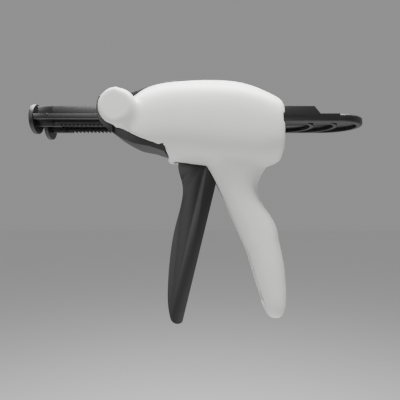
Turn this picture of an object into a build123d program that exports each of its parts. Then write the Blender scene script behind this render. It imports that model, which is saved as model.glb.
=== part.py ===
from build123d import *
import math
import os

# Cartridge dispensing gun, millimetres.
# X runs along the plunger (the muzzle points to -X), Y is across, Z is up.
# Origin: on the plunger's centre line, at the face the cartridge flange rests against.

# ---------------------------------------------------------------- clearances
RUN_GAP = 0.05            # radial gap of a pin in a turning bore
SEAT_GAP = 0.02           # gap of a pin in a fixed bore
SLIDE_GAP = 0.35          # gap round the sliding plunger
SIDE_GAP = 0.4            # gap beside a swinging part

# ---------------------------------------------------------------- plunger
ROD_OFFSET = 11.25        # each rod's distance from the centre plane
WEB_THICK = 2.6
WEB_TOP = 7.9             # upper web, above the rod's axis
WEB_BOTTOM = 4.4          # rack web, below the rod's axis
FLANGE_REACH = 8.55       # flange, each side of the rod's axis
FLANGE_TOP = 1.7
FLANGE_BOTTOM = 1.1
TOOTH_PITCH = 2.5
TOOTH_DEPTH = 1.2
TOOTH_LAND = 0.5          # flat left on each tooth tip
RACK_START = -33.0
PISTON_RADIUS = 9.0
PISTON_THICK = 2.6
PISTON_FRONT = -48.0      # front face of the pistons at rest
PISTON_STEM = 11.6        # pistons and their stems, end to end
TENON_RADIUS = 1.0
TENON_LENGTH = 8.0
PULL_START = 92.0         # where the rods join into the pull
PULL_END = 157.2
PULL_BOTTOM = 3.3         # underside of the pull, below the rod's axis
PULL_RIM = 3.4            # solid rim round the finger pockets
PULL_EDGE_ROUND = 1.5
POCKET_PITCH = 14.8
POCKET_COUNT = 3
POCKET_RIB = 2.2
POCKET_DEPTH = 2.4
FIRST_POCKET = 30.0       # length of the pocket nearest the housing
UPPER_WEB_END = 124.3
UPPER_WEB_SLOPE = 5.0

# ---------------------------------------------------------------- housing
WALL = 2.4
HEAD_X = 5.6
HEAD_Z = 4.9
HEAD_RADIUS = 11.2
HEAD_HALF = 27.0
HEAD_ROUND = 2.6
HEAD_WALL = 2.8
HEAD_DEPTH = 6.0          # thickness of each cheek, measured inwards
REAR_X = 105.0
REAR_ROUND = 4.2
BODY_SQUARE = 2.7         # 2 is an ellipse, more is squarer
HANDLE_SQUARE = 2.5
ARC_STEPS = 8             # spans of the curve round half a section
# Stations along the body: x, top, bottom, half width.
BODY_STATIONS = (
    (4.0, 13.5, -27.0, 24.4),
    (17.0, 17.6, -28.0, 24.8),
    (26.0, 21.6, -27.0, 25.0),
    (36.0, 23.4, -26.4, 25.0),
    (50.0, 24.3, -28.0, 24.8),
    (64.0, 24.4, -29.6, 24.4),
    (78.0, 23.2, -30.4, 23.8),
    (88.0, 20.6, -30.4, 23.2),
    (97.0, 17.0, -28.6, 22.6),
    (REAR_X, 12.6, -25.6, 21.8),
)
# Stations down the handle: z, front, rear, half width.
HANDLE_STATIONS = (
    (-20.0, 52.0, 98.0, 19.0),
    (-28.0, 56.4, 96.4, 17.4),
    (-36.0, 61.0, 92.0, 15.4),
    (-44.0, 65.0, 90.8, 14.3),
    (-60.0, 72.4, 98.9, 14.0),
    (-76.0, 79.8, 104.2, 14.0),
    (-92.0, 85.8, 107.4, 13.8),
    (-106.0, 90.2, 108.6, 13.4),
    (-116.0, 93.8, 108.5, 12.6),
    (-121.5, 96.2, 107.2, 10.4),
    (-124.4, 99.2, 104.4, 5.4),
)
CHANNEL_HALF = 7.6        # front slot of the handle, each side of the centre plane
CHANNEL_BOTTOM = -115.5
CHANNEL_DEPTH = 6.0       # behind the handle's front edge
TRIGGER_SLOT_FRONT = 38.0
TRIGGER_SLOT_TOP = -18.0
# Front lower edge of the side walls, in side view.
SIDE_EDGE = ((1.0, -6.4), (8.3, -8.4), (18.9, -13.1), (30.0, -17.8), (34.0, -21.5))
SIDE_EDGE_LEAN = 1.0      # how far the cut below it leans back
SIDE_CUT_FRONT = -20.0
SIDE_CUT_LOW = -50.0
WINDOW_RISE = 2.0         # latch window, above the rods

# ---------------------------------------------------------------- chassis
COLLAR_RADIUS = 12.4      # black collar, concentric with the head
COLLAR_HALF = 23.6
CHASSIS_HALF = 21.6
COLLAR_TOP = 11.4
COLLAR_FRONT = -4.9
COLLAR_DIP = 0.5          # foremost point, below the head's centre
COLLAR_STEP = 1.2         # collar's rear face, ahead of the side walls
CHIN = (-2.9, -5.9)       # where the collar meets the belly
BREAST = (5.0, -11.4)
BELLY = ((14.7, -16.2), (24.0, -18.0))
BELLY_END = -21.0
HOLLOW_FRONT = -10.0      # outer height the hollow's front starts from
HOLLOW_REAR = -20.0
LIP_HALF = 20.6           # opening in the front lip
SEAT_DEPTH = 4.6          # slot for the cartridge flange, along X
SEAT_HALF = 22.0
SEAT_FLOOR = -6.4
BULKHEAD = 3.0
CHASSIS_END = 33.0
CHASSIS_WALL = 2.2
CHASSIS_TOP = 9.4
LIP_RISE = 2.0            # bottom lip in front of the cartridge flange
RIB_X = 95.0              # inner cross wall at the rear of the housing
RIB_THICK = 2.4
RIB_TOP = 20.0
RIB_BOTTOM = -12.0

# ---------------------------------------------------------------- trigger
TRIGGER_X = 57.0
TRIGGER_Z = -23.6
TRIGGER_SWING = 26.0      # degrees
TRIGGER_HALF = 7.0
TRIGGER_HUB = 7.0
TRIGGER_ROUND = 2.2
TRIGGER_PIN_RADIUS = 2.5
TRIGGER_REAR_TOP = (66.3, -30.0)
TRIGGER_REAR_BOTTOM = (43.0, -126.4)
TRIGGER_FRONT = (
    (42.6, -22.0),
    (40.3, -28.6),
    (42.9, -40.0),
    (42.6, -50.0),
    (38.6, -66.0),
    (34.9, -88.5),
    (33.8, -104.0),
    (34.2, -118.0),
    (35.4, -124.0),
)
TRIGGER_TOE = (38.8, -127.5)
LUG_HALF = 3.4
LUG_RADIUS = 3.0
STROKE_TEETH = 3          # teeth fed by one full pull
TRIGGER_PIN_HALF = 12.0
TRIGGER_BOSS = 5.0
WASHER_RADIUS = 4.6
WASHER_THICK = 1.0
WASHER_GAP = 0.1
SPRING_WIRE = 0.9
SPRING_RADIUS = 4.1
SPRING_TURNS = 2
SPRING_PITCH = 1.1
SPRING_LEG = 9.0
SPRING_STEPS = 10         # spans of the curve round each turn
COIL_PITCH = 1.3          # pitch of the small coils, in wire thicknesses

# ---------------------------------------------------------------- drive pawl
PAWL_PIN_RADIUS = 1.25
PAWL_PIN_LOW = -7.6       # ends of the pawl pin, along Y
PAWL_PIN_HIGH = 10.2
CLIP_RADIUS = 2.3
CLIP_THICK = 0.6
CLIP_INSET = 0.4          # pin end beyond each clip
PAWL_SIDE_GAP = 0.3
PAWL_DROP = 4.0           # height of the toothed bar
PAWL_TIP_FLAT = 0.3
PAWL_TIP_GAP = 0.4        # behind the tooth it pushes
PAWL_TIP_SLOPE = 1.5
PAWL_ARM_THICK = 2.4
PAWL_REACH = 9.0          # from the pin to the tip, along X
PAWL_HALF = 12.9
PAWL_BITE = 0.65          # how deep the tip sits in the rack
PAWL_LIFT = 9.0           # degrees from clear to engaged
PAWL_BAR = 2.6
PAWL_HEEL = 0.4           # lean of the bar's front face
PAWL_ARM_START = 1.2      # arm begins this far behind the tip

# ---------------------------------------------------------------- latch
LATCH_X = 46.8            # hinge at the rear end of the latch
LATCH_Z = 21.4
LATCH_PIN_RADIUS = 1.2
LATCH_PIN_HALF = 12.0
LATCH_HALF = 9.0
LATCH_THICK = 2.2
LATCH_END_RADIUS = 3.6
LATCH_NOSE_BOTTOM = 11.9
LATCH_NOSE_TOP = 14.4
LATCH_BOSS = 2.6
LATCH_UNDER = 1.0         # underside at the hinge, below the pin's axis
LATCH_TOP = ((5.0, 16.4), (14.0, 18.2), (24.0, 21.8), (35.0, 24.2))
LATCH_SPRING_WIRE = 0.5
LATCH_SPRING_HALF = 2.0   # pocket for the latch spring, each side of centre
LATCH_SPRING_LEG = 6.0

# ---------------------------------------------------------------- small pieces
BRAKE_THICK = 0.5
BRAKE_HALF = 15.0
BRAKE_REACH = 9.0
BRAKE_TIP = 2.0           # turned-up end of each tongue
BRAKE_GAP = 0.1
BRAKE_SCREW_RADIUS = 1.0
BRAKE_SCREW_HEAD = 1.9
BRAKE_SCREW_Y = 4.5
BRAKE_SCREW_LENGTH = 5.0
BUMPER_HALF = 6.0
BUMPER_THICK = 2.6
BUMPER_TOP = -40.0
BUMPER_BOTTOM = -50.0
BUMPER_WALL = 2.0

# ---------------------------------------------------------------- screws
SCREW_RADIUS = 1.5
SCREW_HEAD_RADIUS = 2.8
SCREW_HEAD_THICK = 2.0
SCREW_SOCKET_RADIUS = 1.3
SCREW_SOCKET_DEPTH = 2.6
SCREW_BOSS_RADIUS = 4.0
SCREW_LENGTH = 17.0
SCREW_TIP_ROOM = 1.0      # hole beyond the screw's tip; ends inside the far wall
SCREW_SEAT = 8.0          # how far off centre the screw heads seat
SCREW_PLACES = ((62.0, 17.0), (88.0, 13.2), (89.0, -17.0), (91.5, -62.0), (101.0, -104.0))

# ---------------------------------------------------------------- worked out
STROKE = STROKE_TEETH * TOOTH_PITCH
PAWL_ARM = STROKE / (2 * math.sin(math.radians(TRIGGER_SWING / 2)))
PAWL_PIN_X = TRIGGER_X + PAWL_ARM * math.sin(math.radians(TRIGGER_SWING / 2))
PAWL_PIN_Z = TRIGGER_Z + PAWL_ARM * math.cos(math.radians(TRIGGER_SWING / 2))
PULL_HALF = ROD_OFFSET + FLANGE_REACH
PULL_CENTRE = PULL_END - PULL_HALF
ROD_START = PISTON_FRONT + PISTON_STEM
TIP_X = PAWL_PIN_X - PAWL_REACH
TIP_Z = -WEB_BOTTOM + PAWL_BITE
BRAKE_SCREW_X = CHASSIS_END - BULKHEAD / 2
BORE_LENGTH = 100.0       # longer than anything it cuts


# ---------------------------------------------------------------- helpers
def block(x_low, x_high, y_low, y_high, z_low, z_high):
    """A box given by its limits."""
    middle = Pos((x_low + x_high) / 2, (y_low + y_high) / 2, (z_low + z_high) / 2)
    return middle * Box(x_high - x_low, y_high - y_low, z_high - z_low)


def both_sides(half):
    """Limits of a span centred on the centre plane."""
    return -half, half


def cross_pin(x, z, radius, y_low, y_high):
    """A cylinder along Y."""
    turned = Rot(90, 0, 0) * Cylinder(radius, y_high - y_low)
    return Pos(x, (y_low + y_high) / 2, z) * turned


def side_plate(outline, half):
    """A closed side-view outline, given thickness across the centre plane."""
    return extrude(Plane.XZ * make_face(outline), half, both=True)


def half_section(low, high, half, squareness):
    """Half of a rounded outline: from low to high on one axis, out to half on the other."""
    middle = (low + high) / 2
    reach = (high - low) / 2
    points = []
    for step in range(ARC_STEPS + 1):
        turn = math.pi * step / ARC_STEPS
        along = math.copysign(abs(math.cos(turn)) ** (2 / squareness), math.cos(turn))
        out = math.sin(turn) ** (2 / squareness)
        points.append((middle - reach * along, half * out))
    points[-1] = (high, 0)
    curve = Spline(*points, tangents=[(0, 1), (0, -1)])
    return make_face(Wire([curve, Line((high, 0), (low, 0))]))


def save(part, node):
    """Write one piece to its own file."""
    export_step(part, f"parts/{node}.step")


# ---------------------------------------------------------------- housing form
def body_form(inset):
    """The +Y half of the upper body, shrunk by inset on every side but its open front."""
    sections = []
    for x, top, bottom, half in BODY_STATIONS:
        plane = Plane(origin=(min(x, REAR_X - inset), 0, 0), x_dir=(0, 0, 1), z_dir=(-1, 0, 0))
        section = half_section(bottom + inset, top - inset, half - inset, BODY_SQUARE)
        sections.append(plane * section)
    form = loft(sections)
    rear_edges = form.edges().filter_by_position(Axis.X, REAR_X - inset - RUN_GAP, REAR_X)
    return fillet(rear_edges.filter_by(lambda edge: edge.center().Y > RUN_GAP), REAR_ROUND - inset)


def handle_form(inset):
    """The +Y half of the handle, shrunk by inset on every side but its open top."""
    sections = []
    for z, front, rear, half in HANDLE_STATIONS:
        if min(half, (rear - front) / 2) > 2 * inset:
            section = half_section(front + inset, rear - inset, half - inset, HANDLE_SQUARE)
            sections.append(Pos(0, 0, z) * section)
    return loft(sections)


def head_disc(half, radius, edge_round):
    disc = cross_pin(HEAD_X, HEAD_Z, radius, -half, half)
    return fillet(disc.edges().filter_by(GeomType.CIRCLE), edge_round)


def plunger_way(x_low, x_high, gap, with_pull=False):
    """Room for the sliding plunger: one cross per rod, or the wider pull as well."""
    reach = FLANGE_REACH + gap
    room = Part()
    for side in (-1, 1):
        y = side * ROD_OFFSET
        flange = (y - reach, y + reach, -FLANGE_BOTTOM - gap, FLANGE_TOP + gap)
        half_web = WEB_THICK / 2 + gap
        web = (y - half_web, y + half_web, -WEB_BOTTOM - gap, WEB_TOP + gap)
        room += block(x_low, x_high, *flange)
        room += block(x_low, x_high, *web)
    if with_pull:
        half = PULL_HALF + gap
        room += block(x_low, x_high, -half, half, -PULL_BOTTOM - gap, FLANGE_TOP + gap)
    return room


# ---------------------------------------------------------------- housing
def inner_supports():
    """Bosses, ribs and walls that stand on the inside of the +Y shell."""
    supports = Part()
    for x, z in SCREW_PLACES:
        supports += cross_pin(x, z, SCREW_BOSS_RADIUS, 0, HEAD_HALF)
    supports += cross_pin(TRIGGER_X, TRIGGER_Z, TRIGGER_BOSS, washer_room(), HEAD_HALF)
    supports += cross_pin(LATCH_X, LATCH_Z, LATCH_BOSS, LATCH_HALF + SIDE_GAP, HEAD_HALF)
    supports += block(RIB_X, RIB_X + RIB_THICK, 0, HEAD_HALF, RIB_BOTTOM, RIB_TOP)
    supports += side_plate(bumper_outline(BUMPER_THICK, BUMPER_WALL), HEAD_HALF)
    return supports


def washer_room():
    """How far from the centre plane the trigger's bosses begin."""
    return TRIGGER_HALF + WASHER_THICK + 2 * WASHER_GAP


def bumper_outline(near, thick):
    """A slab behind the pulled trigger's rear edge, near to near + thick behind it."""
    top_x = pulled_rear_x(BUMPER_TOP) + SLIDE_GAP + near
    bottom_x = pulled_rear_x(BUMPER_BOTTOM) + SLIDE_GAP + near
    return Polyline(
        (top_x, BUMPER_TOP),
        (bottom_x, BUMPER_BOTTOM),
        (bottom_x + thick, BUMPER_BOTTOM),
        (top_x + thick, BUMPER_TOP),
        close=True,
    )


def pulled(x, z):
    """Where a trigger point goes when the trigger is fully pulled."""
    swing = math.radians(TRIGGER_SWING)
    away_x = x - TRIGGER_X
    away_z = z - TRIGGER_Z
    new_x = TRIGGER_X + away_x * math.cos(swing) - away_z * math.sin(swing)
    new_z = TRIGGER_Z + away_x * math.sin(swing) + away_z * math.cos(swing)
    return new_x, new_z


def pulled_rear_x(z):
    """Rear edge of the fully pulled trigger at a height."""
    x_high, z_high = pulled(*TRIGGER_REAR_TOP)
    x_low, z_low = pulled(*TRIGGER_REAR_BOTTOM)
    return x_high + (z - z_high) * (x_low - x_high) / (z_low - z_high)


def screw_holes():
    holes = Part()
    for x, z in SCREW_PLACES:
        tip = SCREW_SEAT - SCREW_LENGTH
        holes += cross_pin(x, z, SCREW_RADIUS + SEAT_GAP, tip - SCREW_TIP_ROOM, SCREW_SEAT)
        holes += cross_pin(x, z, SCREW_HEAD_RADIUS + SIDE_GAP / 2, SCREW_SEAT, BORE_LENGTH)
    return holes


def belly_opening():
    """Everything below the front lower edge of the side walls."""
    rear_x = SIDE_EDGE[-1][0]
    rest = Polyline(
        SIDE_EDGE[-1],
        (rear_x + SIDE_EDGE_LEAN, SIDE_CUT_LOW),
        (SIDE_CUT_FRONT, SIDE_CUT_LOW),
        (SIDE_CUT_FRONT, SIDE_EDGE[0][1]),
        SIDE_EDGE[0],
    )
    return side_plate(Wire([Spline(*SIDE_EDGE), *rest.edges()]), BORE_LENGTH)


def trigger_slot():
    """Opening under the body and down the front of the handle."""
    line = [(TRIGGER_SLOT_FRONT, TRIGGER_SLOT_TOP)]
    line.append((HANDLE_STATIONS[0][1] + CHANNEL_DEPTH, TRIGGER_SLOT_TOP))
    for z, front, rear, half in HANDLE_STATIONS:
        if z > CHANNEL_BOTTOM:
            line.append((front + CHANNEL_DEPTH, z))
    line.append((line[-1][0] + CHANNEL_DEPTH / 2, CHANNEL_BOTTOM))
    line.append((TRIGGER_SLOT_FRONT, CHANNEL_BOTTOM))
    return side_plate(Polyline(*line, close=True), CHANNEL_HALF)


def latch_window():
    half = LATCH_HALF + SLIDE_GAP
    end = LATCH_X + LATCH_END_RADIUS + SLIDE_GAP
    return block(-BORE_LENGTH, end, -half, half, WEB_TOP + WINDOW_RISE, BORE_LENGTH)


def half_housing():
    """The +Y shell, before its screw holes."""
    outer = body_form(0) + handle_form(0)
    shell = outer - (body_form(WALL) + handle_form(WALL))
    shell += inner_supports() & outer
    throat = HEAD_HALF - HEAD_WALL
    head = head_disc(HEAD_HALF, HEAD_RADIUS, HEAD_ROUND)
    whole = both_sides(BORE_LENGTH)
    shell += head & block(*whole, HEAD_HALF - HEAD_DEPTH, HEAD_HALF, *whole)
    shell -= block(-BORE_LENGTH, BODY_STATIONS[0][0], -throat, throat, -BORE_LENGTH, BORE_LENGTH)
    shell -= chassis_room()
    shell -= belly_opening()
    shell -= trigger_slot()
    shell -= latch_window()
    shell -= plunger_way(RIB_X - 1, BORE_LENGTH * 2, SLIDE_GAP, with_pull=True)
    shell -= cross_pin(TRIGGER_X, TRIGGER_Z, WASHER_RADIUS + SIDE_GAP, *both_sides(washer_room()))
    shell -= cross_pin(TRIGGER_X, TRIGGER_Z, TRIGGER_PIN_RADIUS + SEAT_GAP, *both_sides(TRIGGER_PIN_HALF))
    shell -= cross_pin(LATCH_X, LATCH_Z, LATCH_PIN_RADIUS + SEAT_GAP, *both_sides(LATCH_PIN_HALF))
    return shell


def chassis_room():
    """The chassis sits between the side walls with a fitting gap."""
    half = CHASSIS_HALF + SEAT_GAP
    low = BODY_STATIONS[0][0] - 1
    return block(low, CHASSIS_END + SEAT_GAP, -half, half, -BORE_LENGTH, CHASSIS_TOP + SEAT_GAP)


def save_housing():
    half = half_housing()
    save(half - screw_holes(), "right_housing")
    save(mirror(half, Plane.XZ) - screw_holes(), "left_housing")


def save_screws():
    screws = []
    for x, z in SCREW_PLACES:
        head_end = SCREW_SEAT + SCREW_HEAD_THICK
        screw = cross_pin(x, z, SCREW_RADIUS, SCREW_SEAT - SCREW_LENGTH, SCREW_SEAT)
        screw += cross_pin(x, z, SCREW_HEAD_RADIUS, SCREW_SEAT, head_end)
        socket = extrude(RegularPolygon(SCREW_SOCKET_RADIUS, 6), SCREW_HEAD_THICK, both=True)
        middle = head_end + SCREW_HEAD_THICK - SCREW_SOCKET_DEPTH
        screw -= Pos(x, middle, z) * Rot(90, 0, 0) * socket
        screws.append(screw)
    save(Compound(children=screws), "housing_screws")


# ---------------------------------------------------------------- chassis
def chassis_outline():
    """Side view: round collar, then the belly down to the rear."""
    collar_top = (COLLAR_FRONT, COLLAR_TOP)
    collar = ThreePointArc(collar_top, (HEAD_X - COLLAR_RADIUS, HEAD_Z - COLLAR_DIP), CHIN)
    breast = ThreePointArc(CHIN, BREAST, BELLY[0])
    rest = Polyline(
        *BELLY,
        (CHASSIS_END, BELLY_END),
        (CHASSIS_END, CHASSIS_TOP),
        (BULKHEAD, CHASSIS_TOP),
        (BULKHEAD, COLLAR_TOP),
        collar_top,
    )
    return Wire([collar, breast, *rest.edges()])


def chassis_hollow():
    """Inside of the chassis, between its two bulkheads and above its floor."""
    floor = Polyline(
        (BULKHEAD, HOLLOW_FRONT + CHASSIS_WALL),
        *[(x, z + CHASSIS_WALL) for x, z in BELLY],
        (CHASSIS_END - BULKHEAD, HOLLOW_REAR + CHASSIS_WALL),
        (CHASSIS_END - BULKHEAD, BORE_LENGTH),
        (BULKHEAD, BORE_LENGTH),
        close=True,
    )
    return side_plate(floor, CHASSIS_HALF - CHASSIS_WALL)


def chassis():
    collar_end = BODY_STATIONS[0][0] - COLLAR_STEP
    body = side_plate(chassis_outline(), COLLAR_HALF)
    for side in (-1, 1):
        y_low, y_high = sorted((side * CHASSIS_HALF, side * BORE_LENGTH))
        body -= block(collar_end, BORE_LENGTH, y_low, y_high, -BORE_LENGTH, BORE_LENGTH)
    body -= chassis_hollow()
    body -= block(-SEAT_DEPTH, 0, *both_sides(SEAT_HALF), SEAT_FLOOR, BORE_LENGTH)
    lip_floor = SEAT_FLOOR + LIP_RISE
    body -= block(-BORE_LENGTH, -SEAT_DEPTH + 1, *both_sides(LIP_HALF), lip_floor, BORE_LENGTH)
    body -= plunger_way(-1, CHASSIS_END + 1, SLIDE_GAP)
    for side in (-1, 1):
        hole = Cylinder(BRAKE_SCREW_RADIUS + SEAT_GAP, 2 * BRAKE_SCREW_LENGTH + 2 * SEAT_GAP)
        body -= Pos(BRAKE_SCREW_X, side * BRAKE_SCREW_Y, CHASSIS_TOP) * hole
    return body


# ---------------------------------------------------------------- latch
def latch_lever():
    top = Spline(
        (-SEAT_DEPTH + SLIDE_GAP, LATCH_NOSE_TOP),
        *LATCH_TOP,
        (LATCH_X, LATCH_Z + LATCH_END_RADIUS),
    )
    under = Polyline(
        (LATCH_X, LATCH_Z + LATCH_END_RADIUS),
        (LATCH_X, LATCH_Z - LATCH_UNDER),
        *[(x, z - LATCH_THICK) for x, z in reversed(LATCH_TOP)],
        (-SLIDE_GAP, LATCH_NOSE_BOTTOM),
        (-SEAT_DEPTH + SLIDE_GAP, LATCH_NOSE_BOTTOM),
        (-SEAT_DEPTH + SLIDE_GAP, LATCH_NOSE_TOP),
    )
    lever = side_plate(Wire([top, *under.edges()]), LATCH_HALF)
    lever += cross_pin(LATCH_X, LATCH_Z, LATCH_END_RADIUS, *both_sides(LATCH_HALF))
    lever -= cross_pin(LATCH_X, LATCH_Z, LATCH_PIN_RADIUS + RUN_GAP, *both_sides(BORE_LENGTH))
    reach = LATCH_END_RADIUS + SIDE_GAP
    front = LATCH_X - LATCH_SPRING_LEG - SIDE_GAP
    top_of_room = LATCH_Z + latch_coil_radius() + LATCH_SPRING_WIRE
    room = block(front, LATCH_X + reach, *both_sides(LATCH_SPRING_HALF), LATCH_Z - reach, top_of_room)
    return lever - room


def latch_coil_radius():
    return LATCH_PIN_RADIUS + RUN_GAP * 2 + LATCH_SPRING_WIRE / 2


def latch_spring():
    """Coil round the latch pin; one leg lies under the lever."""
    turns = SPRING_TURNS
    pitch = LATCH_SPRING_WIRE * COIL_PITCH
    spring = spring_coil(LATCH_SPRING_WIRE, latch_coil_radius(), turns, pitch, LATCH_SPRING_LEG)
    return Pos(LATCH_X, -turns * pitch / 2, LATCH_Z) * Rot(-90, 0, 0) * Rot(0, 0, -90) * spring


def latch_pin():
    half = LATCH_PIN_HALF - SEAT_GAP
    return cross_pin(LATCH_X, LATCH_Z, LATCH_PIN_RADIUS, *both_sides(half))


# ---------------------------------------------------------------- trigger
def trigger_outline():
    front = Spline(*TRIGGER_FRONT)
    toe = ThreePointArc(TRIGGER_FRONT[-1], TRIGGER_TOE, TRIGGER_REAR_BOTTOM)
    rear = Line(TRIGGER_REAR_BOTTOM, TRIGGER_REAR_TOP)
    crown = (TRIGGER_X, TRIGGER_Z + TRIGGER_HUB)
    top = ThreePointArc(TRIGGER_REAR_TOP, crown, TRIGGER_FRONT[0])
    return Wire([front, toe, rear, top])


def trigger():
    lever = side_plate(trigger_outline(), TRIGGER_HALF)
    long_edges = lever.edges().sort_by(SortBy.LENGTH)[-4:]
    lever = fillet(long_edges.sort_by(Axis.X)[:2], TRIGGER_ROUND)
    hub = cross_pin(TRIGGER_X, TRIGGER_Z, TRIGGER_HUB, *both_sides(LUG_HALF))
    eye = cross_pin(PAWL_PIN_X, PAWL_PIN_Z, LUG_RADIUS, *both_sides(LUG_HALF))
    neck = Polyline(
        (TRIGGER_X - TRIGGER_HUB + 1, TRIGGER_Z),
        (PAWL_PIN_X - LUG_RADIUS, PAWL_PIN_Z),
        (PAWL_PIN_X + LUG_RADIUS, PAWL_PIN_Z),
        (TRIGGER_X + TRIGGER_HUB - 1, TRIGGER_Z),
        close=True,
    )
    lever += hub + eye + side_plate(neck, LUG_HALF)
    lever -= cross_pin(TRIGGER_X, TRIGGER_Z, TRIGGER_PIN_RADIUS + RUN_GAP, *both_sides(BORE_LENGTH))
    lever -= cross_pin(PAWL_PIN_X, PAWL_PIN_Z, PAWL_PIN_RADIUS + SEAT_GAP, *both_sides(BORE_LENGTH))
    return lever - spring_room()


def spring_coil(wire, radius, turns, pitch, leg):
    """A coil round +Z that starts with a straight leg, from its +X side towards -Y."""
    points = [(radius, -leg, 0), (radius, -leg / 2, 0)]
    for step in range(turns * SPRING_STEPS + 1):
        turn = 2 * math.pi * step / SPRING_STEPS
        points.append((radius * math.cos(turn), radius * math.sin(turn), pitch * step / SPRING_STEPS))
    path = Spline(*points)
    return sweep(Plane(path @ 0, z_dir=path % 0) * Circle(wire / 2), path)


def spring_room():
    """Pocket for the return spring, open to the top and to the trigger's +Y side."""
    outside = SPRING_RADIUS + SPRING_WIRE + SIDE_GAP
    inner = LUG_HALF + PAWL_SIDE_GAP
    room = cross_pin(TRIGGER_X, TRIGGER_Z, outside, inner, BORE_LENGTH)
    room += block(TRIGGER_X - outside, TRIGGER_X + outside, inner, BORE_LENGTH, TRIGGER_Z, 0)
    leg_end = TRIGGER_Z - SPRING_LEG - SIDE_GAP
    leg_low = TRIGGER_X + SPRING_RADIUS - SPRING_WIRE
    leg_high = TRIGGER_X + SPRING_RADIUS + SPRING_WIRE
    return room + block(leg_low, leg_high, inner, BORE_LENGTH, leg_end, TRIGGER_Z)


def trigger_spring():
    """Coil round the trigger pin; its leg lies in a groove of the trigger."""
    start = LUG_HALF + PAWL_SIDE_GAP + SPRING_WIRE / 2 + RUN_GAP
    spring = spring_coil(SPRING_WIRE, SPRING_RADIUS, SPRING_TURNS, SPRING_PITCH, SPRING_LEG)
    far_end = start + SPRING_TURNS * SPRING_PITCH
    return Pos(TRIGGER_X, far_end, TRIGGER_Z) * Rot(90, 0, 0) * spring


def trigger_pin():
    return cross_pin(TRIGGER_X, TRIGGER_Z, TRIGGER_PIN_RADIUS, *both_sides(TRIGGER_PIN_HALF - SEAT_GAP))


def trigger_washers():
    inner = TRIGGER_HALF + WASHER_GAP
    outer = inner + WASHER_THICK
    washers = []
    for y_low, y_high in ((-outer, -inner), (inner, outer)):
        ring = cross_pin(TRIGGER_X, TRIGGER_Z, WASHER_RADIUS, y_low, y_high)
        ring -= cross_pin(TRIGGER_X, TRIGGER_Z, TRIGGER_PIN_RADIUS + SEAT_GAP, y_low, y_high)
        washers.append(ring)
    return Compound(children=washers)


def trigger_bumper():
    return side_plate(bumper_outline(0, BUMPER_THICK), BUMPER_HALF)


# ---------------------------------------------------------------- drive pawl
def at_rest(piece):
    """Swing a pawl piece from its engaged place to its place at rest, clear of the rack."""
    turn = Rot(0, -PAWL_LIFT, 0) * Pos(-PAWL_PIN_X, 0, -PAWL_PIN_Z)
    return Pos(PAWL_PIN_X, 0, PAWL_PIN_Z) * turn * piece


def drive_pawl():
    bar_back = TIP_X + PAWL_BAR
    bar_low = TIP_Z - PAWL_DROP
    bar = Polyline(
        (TIP_X, TIP_Z),
        (TIP_X + PAWL_TIP_FLAT, TIP_Z),
        (TIP_X + PAWL_TIP_SLOPE, TIP_Z - PAWL_BITE - RUN_GAP * 2),
        (bar_back, TIP_Z - 2 * PAWL_BITE),
        (bar_back, bar_low),
        (TIP_X + PAWL_HEEL, bar_low),
        close=True,
    )
    arm = Polyline(
        (TIP_X + PAWL_ARM_START, TIP_Z - 2 * PAWL_BITE),
        (PAWL_PIN_X, PAWL_PIN_Z + LUG_RADIUS),
        (PAWL_PIN_X, PAWL_PIN_Z - LUG_RADIUS),
        (TIP_X + PAWL_ARM_START, bar_low),
        close=True,
    )
    pawl = side_plate(bar, PAWL_HALF)
    inner = LUG_HALF + PAWL_SIDE_GAP
    outer = inner + PAWL_ARM_THICK
    plate = side_plate(arm, outer) + cross_pin(PAWL_PIN_X, PAWL_PIN_Z, LUG_RADIUS, -outer, outer)
    plate -= block(bar_back, BORE_LENGTH, -inner, inner, -BORE_LENGTH, BORE_LENGTH)
    pawl += plate
    pawl -= cross_pin(PAWL_PIN_X, PAWL_PIN_Z, PAWL_PIN_RADIUS + RUN_GAP, *both_sides(BORE_LENGTH))
    return at_rest(pawl)


def pawl_pin():
    return cross_pin(PAWL_PIN_X, PAWL_PIN_Z, PAWL_PIN_RADIUS, PAWL_PIN_LOW, PAWL_PIN_HIGH)


def pawl_clips():
    """Retaining rings near the two ends of the pawl pin."""
    clips = []
    for y_low in (PAWL_PIN_LOW + CLIP_INSET, PAWL_PIN_HIGH - CLIP_INSET - CLIP_THICK):
        y_high = y_low + CLIP_THICK
        ring = cross_pin(PAWL_PIN_X, PAWL_PIN_Z, CLIP_RADIUS, y_low, y_high)
        ring -= cross_pin(PAWL_PIN_X, PAWL_PIN_Z, PAWL_PIN_RADIUS + SEAT_GAP, y_low, y_high)
        clips.append(ring)
    return Compound(children=clips)


def pawl_spring():
    """Coil round the pawl pin, beside the pawl's +Y arm, with its leg under the arm."""
    wire = SPRING_WIRE / 2
    turns = SPRING_TURNS + 1
    pitch = wire * COIL_PITCH
    spring = spring_coil(wire, PAWL_PIN_RADIUS + wire, turns, pitch, PAWL_REACH / 2)
    start = LUG_HALF + 2 * PAWL_SIDE_GAP + PAWL_ARM_THICK + wire
    return Pos(PAWL_PIN_X, start + turns * pitch, PAWL_PIN_Z) * Rot(90, 0, 0) * Rot(0, 0, -90) * spring


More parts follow.
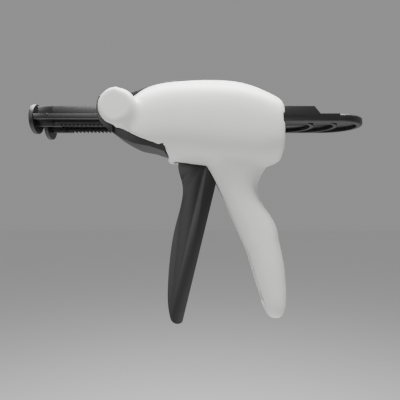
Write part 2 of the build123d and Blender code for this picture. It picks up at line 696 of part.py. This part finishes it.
# ---------------------------------------------------------------- plunger
def rack_gaps():
    """The spaces between the teeth, cut straight across both rods."""
    root = -WEB_BOTTOM + TOOTH_DEPTH
    first = TIP_X - PAWL_TIP_GAP
    low = math.ceil((RACK_START - first) / TOOTH_PITCH)
    high = math.floor((PULL_START - TOOTH_PITCH - first) / TOOTH_PITCH)
    points = [(first + low * TOOTH_PITCH, -WEB_BOTTOM - 1)]
    for index in range(low, high):
        wall = first + index * TOOTH_PITCH
        points.append((wall, root))
        points.append((wall + TOOTH_PITCH - TOOTH_LAND, -WEB_BOTTOM))
        points.append((wall + TOOTH_PITCH, -WEB_BOTTOM))
    points.append((first + high * TOOTH_PITCH, -WEB_BOTTOM - 1))
    return side_plate(Polyline(*points, close=True), PULL_HALF)


def pull():
    """Flat pull with straight sides, a half-round end and finger pockets below."""
    plan = block(PULL_START, PULL_CENTRE, *both_sides(PULL_HALF), -PULL_BOTTOM, FLANGE_TOP)
    middle = (FLANGE_TOP - PULL_BOTTOM) / 2
    body = plan + Pos(PULL_CENTRE, 0, middle) * Cylinder(PULL_HALF, FLANGE_TOP + PULL_BOTTOM)
    edges = body.edges().filter_by(lambda edge: edge.center().X > PULL_START + 1)
    flat = edges.filter_by(lambda edge: edge.bounding_box().size.Z < RUN_GAP)
    body = fillet(flat, PULL_EDGE_ROUND)
    for index in range(POCKET_COUNT):
        body -= finger_pocket(index)
    return body


def finger_pocket(index):
    """Crescent pocket under the pull; each follows the half-round end."""
    radius = PULL_HALF - PULL_RIM
    centre = PULL_CENTRE - index * POCKET_PITCH
    pocket = Pos(centre, 0, 0) * Cylinder(radius, 2 * PULL_BOTTOM)
    ahead = POCKET_PITCH
    if index == POCKET_COUNT - 1:
        ahead = FIRST_POCKET
    pocket += block(centre - ahead, centre, -radius, radius, -PULL_BOTTOM, PULL_BOTTOM)
    pocket -= Pos(centre - ahead, 0, 0) * Cylinder(radius + POCKET_RIB, 2 * PULL_BOTTOM)
    low = -PULL_BOTTOM - 1
    roof = POCKET_DEPTH - PULL_BOTTOM
    return pocket & block(PULL_START + PULL_RIM, PULL_END, *both_sides(PULL_HALF), low, roof)


def plunger():
    body = Part()
    for side in (-1, 1):
        y = side * ROD_OFFSET
        half_web = WEB_THICK / 2
        flange = (y - FLANGE_REACH, y + FLANGE_REACH, -FLANGE_BOTTOM, FLANGE_TOP)
        body += block(ROD_START, PULL_CENTRE, *flange)
        body += block(ROD_START, PULL_START + 1, y - half_web, y + half_web, -WEB_BOTTOM, 0)
        upper = Polyline(
            (ROD_START, 0),
            (ROD_START, WEB_TOP),
            (UPPER_WEB_END, WEB_TOP),
            (UPPER_WEB_END + UPPER_WEB_SLOPE, FLANGE_TOP),
            (UPPER_WEB_END + UPPER_WEB_SLOPE, 0),
            close=True,
        )
        body += Pos(0, y, 0) * side_plate(upper, half_web)
        tenon = Rot(0, 90, 0) * Cylinder(TENON_RADIUS, TENON_LENGTH)
        body += Pos(ROD_START - TENON_LENGTH / 2, y, 0) * tenon
    body -= rack_gaps()
    return body + pull()


def piston(side):
    y = side * ROD_OFFSET
    disc = Rot(0, 90, 0) * Cylinder(PISTON_RADIUS, PISTON_THICK)
    disc = fillet(disc.edges().filter_by(GeomType.CIRCLE), PISTON_THICK / 5)
    head = Pos(PISTON_FRONT + PISTON_THICK / 2, y, 0) * disc
    reach = FLANGE_REACH - SIDE_GAP
    start = PISTON_FRONT + PISTON_THICK / 2
    half_web = WEB_THICK / 2
    head += block(start, ROD_START, y - reach, y + reach, -FLANGE_BOTTOM, FLANGE_TOP)
    head += block(start, ROD_START, y - half_web, y + half_web, -WEB_BOTTOM, WEB_TOP)
    hole = Pos(ROD_START - TENON_LENGTH / 2, y, 0) * Rot(0, 90, 0)
    return head - hole * Cylinder(TENON_RADIUS + SEAT_GAP, TENON_LENGTH + 2 * SEAT_GAP)


# ---------------------------------------------------------------- rod brake
def rod_brake():
    leaf_top = CHASSIS_TOP + BRAKE_THICK
    leaf = block(CHASSIS_END - BULKHEAD, CHASSIS_END, *both_sides(BRAKE_HALF), CHASSIS_TOP, leaf_top)
    tip_x = CHASSIS_END + BRAKE_REACH + BRAKE_TIP
    touch = WEB_TOP + BRAKE_GAP
    tongue = Polyline(
        (CHASSIS_END - 1, CHASSIS_TOP),
        (CHASSIS_END, CHASSIS_TOP),
        (CHASSIS_END + BRAKE_REACH, touch),
        (tip_x, CHASSIS_TOP),
        (tip_x, leaf_top),
        (CHASSIS_END + BRAKE_REACH, touch + BRAKE_THICK),
        (CHASSIS_END, leaf_top),
        (CHASSIS_END - 1, leaf_top),
        close=True,
    )
    for side in (-1, 1):
        leaf += Pos(0, side * ROD_OFFSET, 0) * side_plate(tongue, WEB_THICK)
        hole = Cylinder(BRAKE_SCREW_RADIUS + SEAT_GAP, 4 * BRAKE_THICK)
        leaf -= Pos(BRAKE_SCREW_X, side * BRAKE_SCREW_Y, CHASSIS_TOP) * hole
    return leaf


def brake_screws():
    screws = []
    for side in (-1, 1):
        shank = BRAKE_SCREW_LENGTH + BRAKE_THICK
        screw = Pos(0, 0, -shank / 2) * Cylinder(BRAKE_SCREW_RADIUS, shank)
        screw += Pos(0, 0, BRAKE_SCREW_RADIUS / 2) * Cylinder(BRAKE_SCREW_HEAD, BRAKE_SCREW_RADIUS)
        screws.append(Pos(BRAKE_SCREW_X, side * BRAKE_SCREW_Y, CHASSIS_TOP + BRAKE_THICK) * screw)
    return Compound(children=screws)


# ---------------------------------------------------------------- build
def main():
    os.makedirs("parts", exist_ok=True)
    save_housing()
    save_screws()
    save(chassis(), "chassis")
    save(latch_lever(), "latch_lever")
    save(latch_pin(), "latch_pin")
    save(latch_spring(), "latch_spring")
    save(trigger(), "trigger")
    save(trigger_pin(), "trigger_pin")
    save(trigger_washers(), "trigger_washers")
    save(trigger_spring(), "trigger_spring")
    save(trigger_bumper(), "trigger_bumper")
    save(drive_pawl(), "drive_pawl")
    save(pawl_pin(), "pawl_pin")
    save(pawl_clips(), "pawl_clips")
    save(pawl_spring(), "pawl_spring")
    save(plunger(), "plunger")
    save(piston(-1), "left_piston")
    save(piston(1), "right_piston")
    save(rod_brake(), "rod_brake")
    save(brake_screws(), "brake_screws")


main()
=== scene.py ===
import math

import bmesh
import bpy
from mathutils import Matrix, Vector


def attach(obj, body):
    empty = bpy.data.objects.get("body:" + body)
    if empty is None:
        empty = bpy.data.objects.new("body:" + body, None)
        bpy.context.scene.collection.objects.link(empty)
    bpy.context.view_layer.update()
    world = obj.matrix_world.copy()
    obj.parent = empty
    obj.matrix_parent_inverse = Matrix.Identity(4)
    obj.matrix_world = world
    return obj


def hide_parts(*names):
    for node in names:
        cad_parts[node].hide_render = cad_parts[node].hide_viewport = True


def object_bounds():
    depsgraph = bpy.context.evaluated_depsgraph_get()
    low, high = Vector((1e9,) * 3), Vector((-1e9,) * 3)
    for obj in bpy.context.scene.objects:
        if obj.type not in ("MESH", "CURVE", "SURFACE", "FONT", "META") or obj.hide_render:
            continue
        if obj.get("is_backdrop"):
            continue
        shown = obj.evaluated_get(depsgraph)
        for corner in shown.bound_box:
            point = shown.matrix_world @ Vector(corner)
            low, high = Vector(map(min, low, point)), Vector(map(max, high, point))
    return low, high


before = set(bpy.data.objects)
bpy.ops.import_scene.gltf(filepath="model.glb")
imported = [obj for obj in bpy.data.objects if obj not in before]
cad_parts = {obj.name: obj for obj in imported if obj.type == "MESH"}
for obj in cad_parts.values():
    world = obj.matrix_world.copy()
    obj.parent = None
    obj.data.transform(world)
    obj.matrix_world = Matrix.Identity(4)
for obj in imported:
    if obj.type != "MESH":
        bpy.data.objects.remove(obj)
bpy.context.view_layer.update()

MM = 0.001

# ---------------------------------------------------------------- sizes
SHELL_VOXEL = 0.8 * MM          # mesh size of the two moulded shells
SHELL_SETTLE = 4                # smoothing passes over a whole shell
FOLD_PASSES = 90                # smoothing passes where the handle grows out of the body
FOLD_HEIGHT = -33.0 * MM        # middle of that fold
FOLD_REACH = 15.0 * MM
FOLD_GAIN = 1.6                 # how soon the blending is at its fullest
RIM_CLEAR = 9.5 * MM            # the fold stops this far from the centre plane
HEAD_X = 5.6 * MM               # centre of the round cheek, in side view
HEAD_Z = 4.9 * MM
HEAD_EDGE = 12.4 * MM           # middle of the valley behind the cheek, from its centre
HEAD_REACH = 5.0 * MM
HEAD_CLEAR = 22.5 * MM          # the valley stops this far from the centre plane
EDGE_ROUND = 0.35 * MM          # broken edges of the black mouldings
TOOTH_ROUND = 0.22 * MM         # the same on the plunger, whose rack is finer
EDGE_STEPS = 3
SHARP = math.radians(32)
FLOOR_DROP = 0.90               # the floor, below the hanging gun
FLOOR_HALF = 12.0
ROOM_LIGHT = 0.30               # brightness of the plain white room

CAMERA_PLACE = Vector((54.0, -248.2, -49.79)) * MM
CAMERA_LENS = 34.58
GUN_MIDDLE = (0.054, 0.0, -0.04)


# ---------------------------------------------------------------- materials
def colour(hex_text):
    """An sRGB hex colour as linear RGBA."""
    channels = [int(hex_text[i:i + 2], 16) / 255 for i in (0, 2, 4)]
    linear = [c / 12.92 if c <= 0.04045 else ((c + 0.055) / 1.055) ** 2.4 for c in channels]
    return (*linear, 1.0)


def add(tree, kind, inputs=None, **settings):
    """Add one node, with its settings, its input values and its links."""
    made = tree.nodes.new(kind)
    for name, value in settings.items():
        setattr(made, name, value)
    for name, value in (inputs or {}).items():
        socket = next(s for s in made.inputs if s.enabled and name in (s.name, s.identifier))
        if isinstance(value, bpy.types.NodeSocket):
            tree.links.new(value, socket)
        else:
            socket.default_value = value
    return made


def new_material(name):
    """An empty node material and its tree."""
    material = bpy.data.materials.new(name)
    material.use_nodes = True
    material.node_tree.nodes.clear()
    return material, material.node_tree


def per_metre(size_mm):
    """Noise scale for a pattern of the given size."""
    return 1 / (size_mm * MM)


def ramp(tree, factor, low, high, from_value, to_value):
    """A value mapped from low..high to from_value..to_value."""
    return add(tree, "ShaderNodeMapRange", {
        "Value": factor, "From Min": low, "From Max": high, "To Min": from_value, "To Max": to_value,
    }).outputs["Result"]


def moulded(name, body, mottle_and_edge_highlight, grain_mm, roughness, grain_depth_mm, flow_mm):
    """Injection-moulded plastic: spark-eroded grain, faint flow mottling, and convex edges painted
    lighter as a painted highlight.
    """
    material, tree = new_material(name)
    place = add(tree, "ShaderNodeTexCoord").outputs["Object"]
    grain = add(tree, "ShaderNodeTexNoise", {
        "Vector": place, "Scale": per_metre(grain_mm), "Detail": 3.0, "Roughness": 0.55,
    }).outputs["Fac"]
    flow = add(tree, "ShaderNodeTexNoise", {
        "Vector": place, "Scale": per_metre(flow_mm), "Detail": 4.0, "Roughness": 0.6,
    }).outputs["Fac"]
    edge = add(tree, "ShaderNodeNewGeometry").outputs["Pointiness"]
    # Painted highlight: convex edges (by pointiness) are mixed toward the lighter colour, which also
    # serves the random flow mottling.
    painted_edge_highlight = ramp(tree, edge, 0.52, 0.60, 0.0, 0.55)
    mottled = add(tree, "ShaderNodeMix", {
        "Factor": ramp(tree, flow, 0.3, 0.7, 0.0, 0.3), "A": colour(body), "B": colour(mottle_and_edge_highlight),
    }, data_type="RGBA")
    tint = add(tree, "ShaderNodeMix", {
        "Factor": painted_edge_highlight, "A": mottled.outputs[2], "B": colour(mottle_and_edge_highlight),
    }, data_type="RGBA")
    bump = add(tree, "ShaderNodeBump", {
        "Height": grain, "Distance": grain_depth_mm * MM, "Strength": 0.6,
    })
    shader = add(tree, "ShaderNodeBsdfPrincipled", {
        "Base Color": tint.outputs[2],
        "Roughness": ramp(tree, grain, 0.25, 0.75, roughness - 0.06, roughness + 0.06),
        "IOR": 1.53, "Normal": bump.outputs["Normal"],
    })
    add(tree, "ShaderNodeOutputMaterial", {"Surface": shader.outputs["BSDF"]})
    return material


def steel(name, bright, dull, streak_mm, roughness):
    """Drawn or ground steel: fine streaks across Y, dulled in patches by handling."""
    material, tree = new_material(name)
    place = add(tree, "ShaderNodeTexCoord").outputs["Object"]
    stretched = add(tree, "ShaderNodeMapping", {"Vector": place, "Scale": (1.0, 0.08, 1.0)})
    streaks = add(tree, "ShaderNodeTexNoise", {
        "Vector": stretched.outputs["Vector"], "Scale": per_metre(streak_mm), "Detail": 3.0,
    }).outputs["Fac"]
    patches = add(tree, "ShaderNodeTexNoise", {
        "Vector": place, "Scale": per_metre(4.0), "Detail": 3.0,
    }).outputs["Fac"]
    tint = add(tree, "ShaderNodeMix", {
        "Factor": patches, "A": colour(bright), "B": colour(dull),
    }, data_type="RGBA")
    bump = add(tree, "ShaderNodeBump", {"Height": streaks, "Distance": 0.01 * MM, "Strength": 0.5})
    shader = add(tree, "ShaderNodeBsdfPrincipled", {
        "Base Color": tint.outputs[2], "Metallic": 1.0,
        "Roughness": ramp(tree, streaks, 0.2, 0.8, roughness - 0.08, roughness + 0.08),
        "Normal": bump.outputs["Normal"],
    })
    add(tree, "ShaderNodeOutputMaterial", {"Surface": shader.outputs["BSDF"]})
    return material


# White ABS: opaque, fine satin grain. The real grain of about 0.1 mm is drawn coarser, so that it shows.
white_abs = moulded("white_abs", "D6D6D4", "E4E4E2", 0.45, 0.42, 0.012, 18.0)
# Glass-filled nylon: slightly grey black with a dry sheen.
black_nylon = moulded("black_nylon", "151516", "222223", 0.40, 0.48, 0.015, 9.0)
# Black ABS of the latch: a little glossier.
black_abs = moulded("black_abs", "111112", "1D1D1E", 0.40, 0.40, 0.010, 9.0)
# Acetal of the trigger and the plunger: deep black, waxy.
black_acetal = moulded("black_acetal", "0E0E0F", "191919", 0.40, 0.42, 0.012, 12.0)
plunger_acetal = moulded("plunger_acetal", "0E0E0F", "1A1A1B", 0.40, 0.40, 0.012, 10.0)
# Natural nylon: milky and smooth.
natural_nylon = moulded("natural_nylon", "DAD6C8", "E6E3D8", 0.50, 0.35, 0.006, 3.0)
# Soft stop: matt rubber.
stop_rubber = moulded("stop_rubber", "1E1E1E", "2C2C2C", 0.35, 0.80, 0.030, 3.0)
# Zinc-plated screws, ground pins, drawn spring wire and a tumbled stamping.
zinc_plate = steel("zinc_plate", "C4C5C7", "A2A4A8", 0.30, 0.34)
ground_steel = steel("ground_steel", "CFCFD0", "B4B4B6", 0.20, 0.22)
spring_wire = steel("spring_wire", "A6A6A8", "86868A", 0.25, 0.30)
tumbled_steel = steel("tumbled_steel", "9A9A9C", "7C7C80", 0.60, 0.45)


# ---------------------------------------------------------------- pieces
def merged_copy(node, name):
    """A new object with a copy of a CAD node's mesh, its loose triangles joined."""
    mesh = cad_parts[node].data.copy()
    mesh.name = name
    mesh.materials.clear()
    shape = bmesh.new()
    shape.from_mesh(mesh)
    bmesh.ops.remove_doubles(shape, verts=shape.verts, dist=0.002 * MM)
    bmesh.ops.dissolve_degenerate(shape, edges=shape.edges, dist=0.001 * MM)
    shape.to_mesh(mesh)
    shape.free()
    piece = bpy.data.objects.new(name, mesh)
    bpy.context.scene.collection.objects.link(piece)
    return piece


def settle(piece):
    """Replace a piece's mesh by what its modifiers make of it."""
    graph = bpy.context.evaluated_depsgraph_get()
    finished = bpy.data.meshes.new_from_object(piece.evaluated_get(graph))
    finished.name = piece.name
    piece.modifiers.clear()
    piece.data = finished


def finish_piece(piece, node, material, body):
    """Give a piece its material and put it in its CAD node's place, on its body."""
    piece.data.materials.clear()
    piece.data.materials.append(material)
    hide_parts(node)
    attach(piece, body)


def softness(place):
    """Above 0 where the shell is blended: round the handle's root and behind the cheek."""
    root = 1 - abs(place.z - FOLD_HEIGHT) / FOLD_REACH
    if abs(place.y) < RIM_CLEAR:
        root = 0
    away = math.hypot(place.x - HEAD_X, place.z - HEAD_Z)
    valley = 1 - abs(away - HEAD_EDGE) / HEAD_REACH
    if abs(place.y) < HEAD_CLEAR or place.x < HEAD_X:
        valley = 0
    return max(root, valley)


def smooth_shell(node, name):
    """A moulded shell whose handle and cheeks grow out of the body in soft folds."""
    piece = merged_copy(node, name)
    remesh = piece.modifiers.new("even_mesh", "REMESH")
    remesh.mode = "VOXEL"
    remesh.voxel_size = SHELL_VOXEL
    settle(piece)
    fold = piece.vertex_groups.new(name="fold")
    for vertex in piece.data.vertices:
        near = softness(vertex.co)
        if near > 0:
            fold.add([vertex.index], min(1.0, near * FOLD_GAIN), "REPLACE")
    blend = piece.modifiers.new("soft_fold", "SMOOTH")
    blend.factor = 0.5
    blend.iterations = FOLD_PASSES
    blend.vertex_group = "fold"
    even = piece.modifiers.new("settle", "SMOOTH")
    even.factor = 0.5
    even.iterations = SHELL_SETTLE
    settle(piece)
    piece.data.shade_smooth()
    return piece


def broken_edges(node, name, width):
    """A prismatic moulding with its sharp edges broken."""
    piece = merged_copy(node, name)
    shape = bmesh.new()
    shape.from_mesh(piece.data)
    bmesh.ops.dissolve_limit(
        shape, angle_limit=math.radians(0.6), use_dissolve_boundaries=False,
        verts=shape.verts, edges=shape.edges,
    )
    shape.to_mesh(piece.data)
    shape.free()
    bevel = piece.modifiers.new("broken_edges", "BEVEL")
    bevel.width = width
    bevel.segments = EDGE_STEPS
    bevel.limit_method = "ANGLE"
    bevel.angle_limit = SHARP
    bevel.harden_normals = True
    bevel.use_clamp_overlap = True
    settle(piece)
    piece.data.shade_smooth()
    return piece


# Pieces drawn in place of a CAD node: node, name, material, body, slot.
SHELLS = (
    ("left_housing", "left_shell", white_abs, "grip", "white_shell"),
    ("right_housing", "right_shell", white_abs, "grip", "white_shell"),
)
MOULDINGS = (
    ("chassis", "inner_frame", black_nylon, "grip", "black_frame"),
    ("latch_lever", "latch_plate", black_abs, "latch", "black_latch"),
    ("trigger", "squeeze_lever", black_acetal, "trigger", "black_trigger"),
    ("plunger", "twin_rods", plunger_acetal, "plunger", "black_plunger"),
    ("left_piston", "near_piston", plunger_acetal, "plunger", "black_plunger"),
    ("right_piston", "far_piston", plunger_acetal, "plunger", "black_plunger"),
)
for node_name, name, finish, body, slot_name in SHELLS:
    finish_piece(smooth_shell(node_name, name), node_name, finish, body)
for node_name, name, finish, body, slot_name in MOULDINGS:
    width = TOOTH_ROUND if node_name == "plunger" else EDGE_ROUND
    finish_piece(broken_edges(node_name, name, width), node_name, finish, body)

# CAD nodes drawn as they are.
CARRIED = {
    "housing_screws": zinc_plate,
    "brake_screws": zinc_plate,
    "latch_pin": ground_steel,
    "trigger_pin": ground_steel,
    "pawl_pin": ground_steel,
    "latch_spring": spring_wire,
    "trigger_spring": spring_wire,
    "pawl_spring": spring_wire,
    "pawl_clips": spring_wire,
    "rod_brake": spring_wire,
    "drive_pawl": tumbled_steel,
    "trigger_washers": natural_nylon,
    "trigger_bumper": stop_rubber,
}
for node_name, finish in CARRIED.items():
    for material_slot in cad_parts[node_name].material_slots:
        material_slot.link = "OBJECT"
        material_slot.material = finish


# ---------------------------------------------------------------- studio
def pale_floor():
    """A plain matt floor, well below the gun."""
    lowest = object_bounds()[0][2]
    shape = bmesh.new()
    bmesh.ops.create_grid(shape, x_segments=1, y_segments=1, size=FLOOR_HALF)
    bmesh.ops.translate(shape, verts=shape.verts, vec=(0, 0, lowest - FLOOR_DROP))
    mesh = bpy.data.meshes.new("floor")
    shape.to_mesh(mesh)
    shape.free()
    floor = bpy.data.objects.new("floor", mesh)
    bpy.context.scene.collection.objects.link(floor)
    material, tree = new_material("pale_floor")
    shader = add(tree, "ShaderNodeBsdfPrincipled", {"Base Color": colour("FAFAFA"), "Roughness": 0.9})
    add(tree, "ShaderNodeOutputMaterial", {"Surface": shader.outputs["BSDF"]})
    mesh.materials.append(material)
    floor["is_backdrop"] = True


def soft_box(name, place, target, size, power):
    """A large soft area light, aimed at a point."""
    light = bpy.data.lights.new(name, "AREA")
    light.shape = "SQUARE"
    light.size = size
    light.energy = power
    lamp = bpy.data.objects.new(name, light)
    lamp.location = place
    lamp.rotation_euler = (Vector(target) - Vector(place)).to_track_quat("-Z", "Y").to_euler()
    bpy.context.scene.collection.objects.link(lamp)


def white_room():
    """Even white light from all round."""
    world = bpy.data.worlds.new("white_room")
    bpy.context.scene.world = world
    world.use_nodes = True
    tree = world.node_tree
    tree.nodes.clear()
    plain = add(tree, "ShaderNodeBackground", {"Color": (1, 1, 1, 1), "Strength": ROOM_LIGHT})
    add(tree, "ShaderNodeOutputWorld", {"Surface": plain.outputs[0]})


def camera():
    lens = bpy.data.cameras.new("camera")
    lens.lens = CAMERA_LENS
    lens.sensor_width = 36.0
    lens.clip_start = 0.01
    lens.clip_end = 50.0
    eye = bpy.data.objects.new("camera", lens)
    eye.location = CAMERA_PLACE
    eye.rotation_euler = (math.radians(90), 0, 0)
    bpy.context.scene.collection.objects.link(eye)
    bpy.context.scene.camera = eye


pale_floor()
white_room()
soft_box("overhead", (0.05, 0.05, 0.75), GUN_MIDDLE, 0.9, 55.0)
soft_box("front_fill", (-0.35, -0.9, 0.35), GUN_MIDDLE, 0.8, 4.0)
camera()
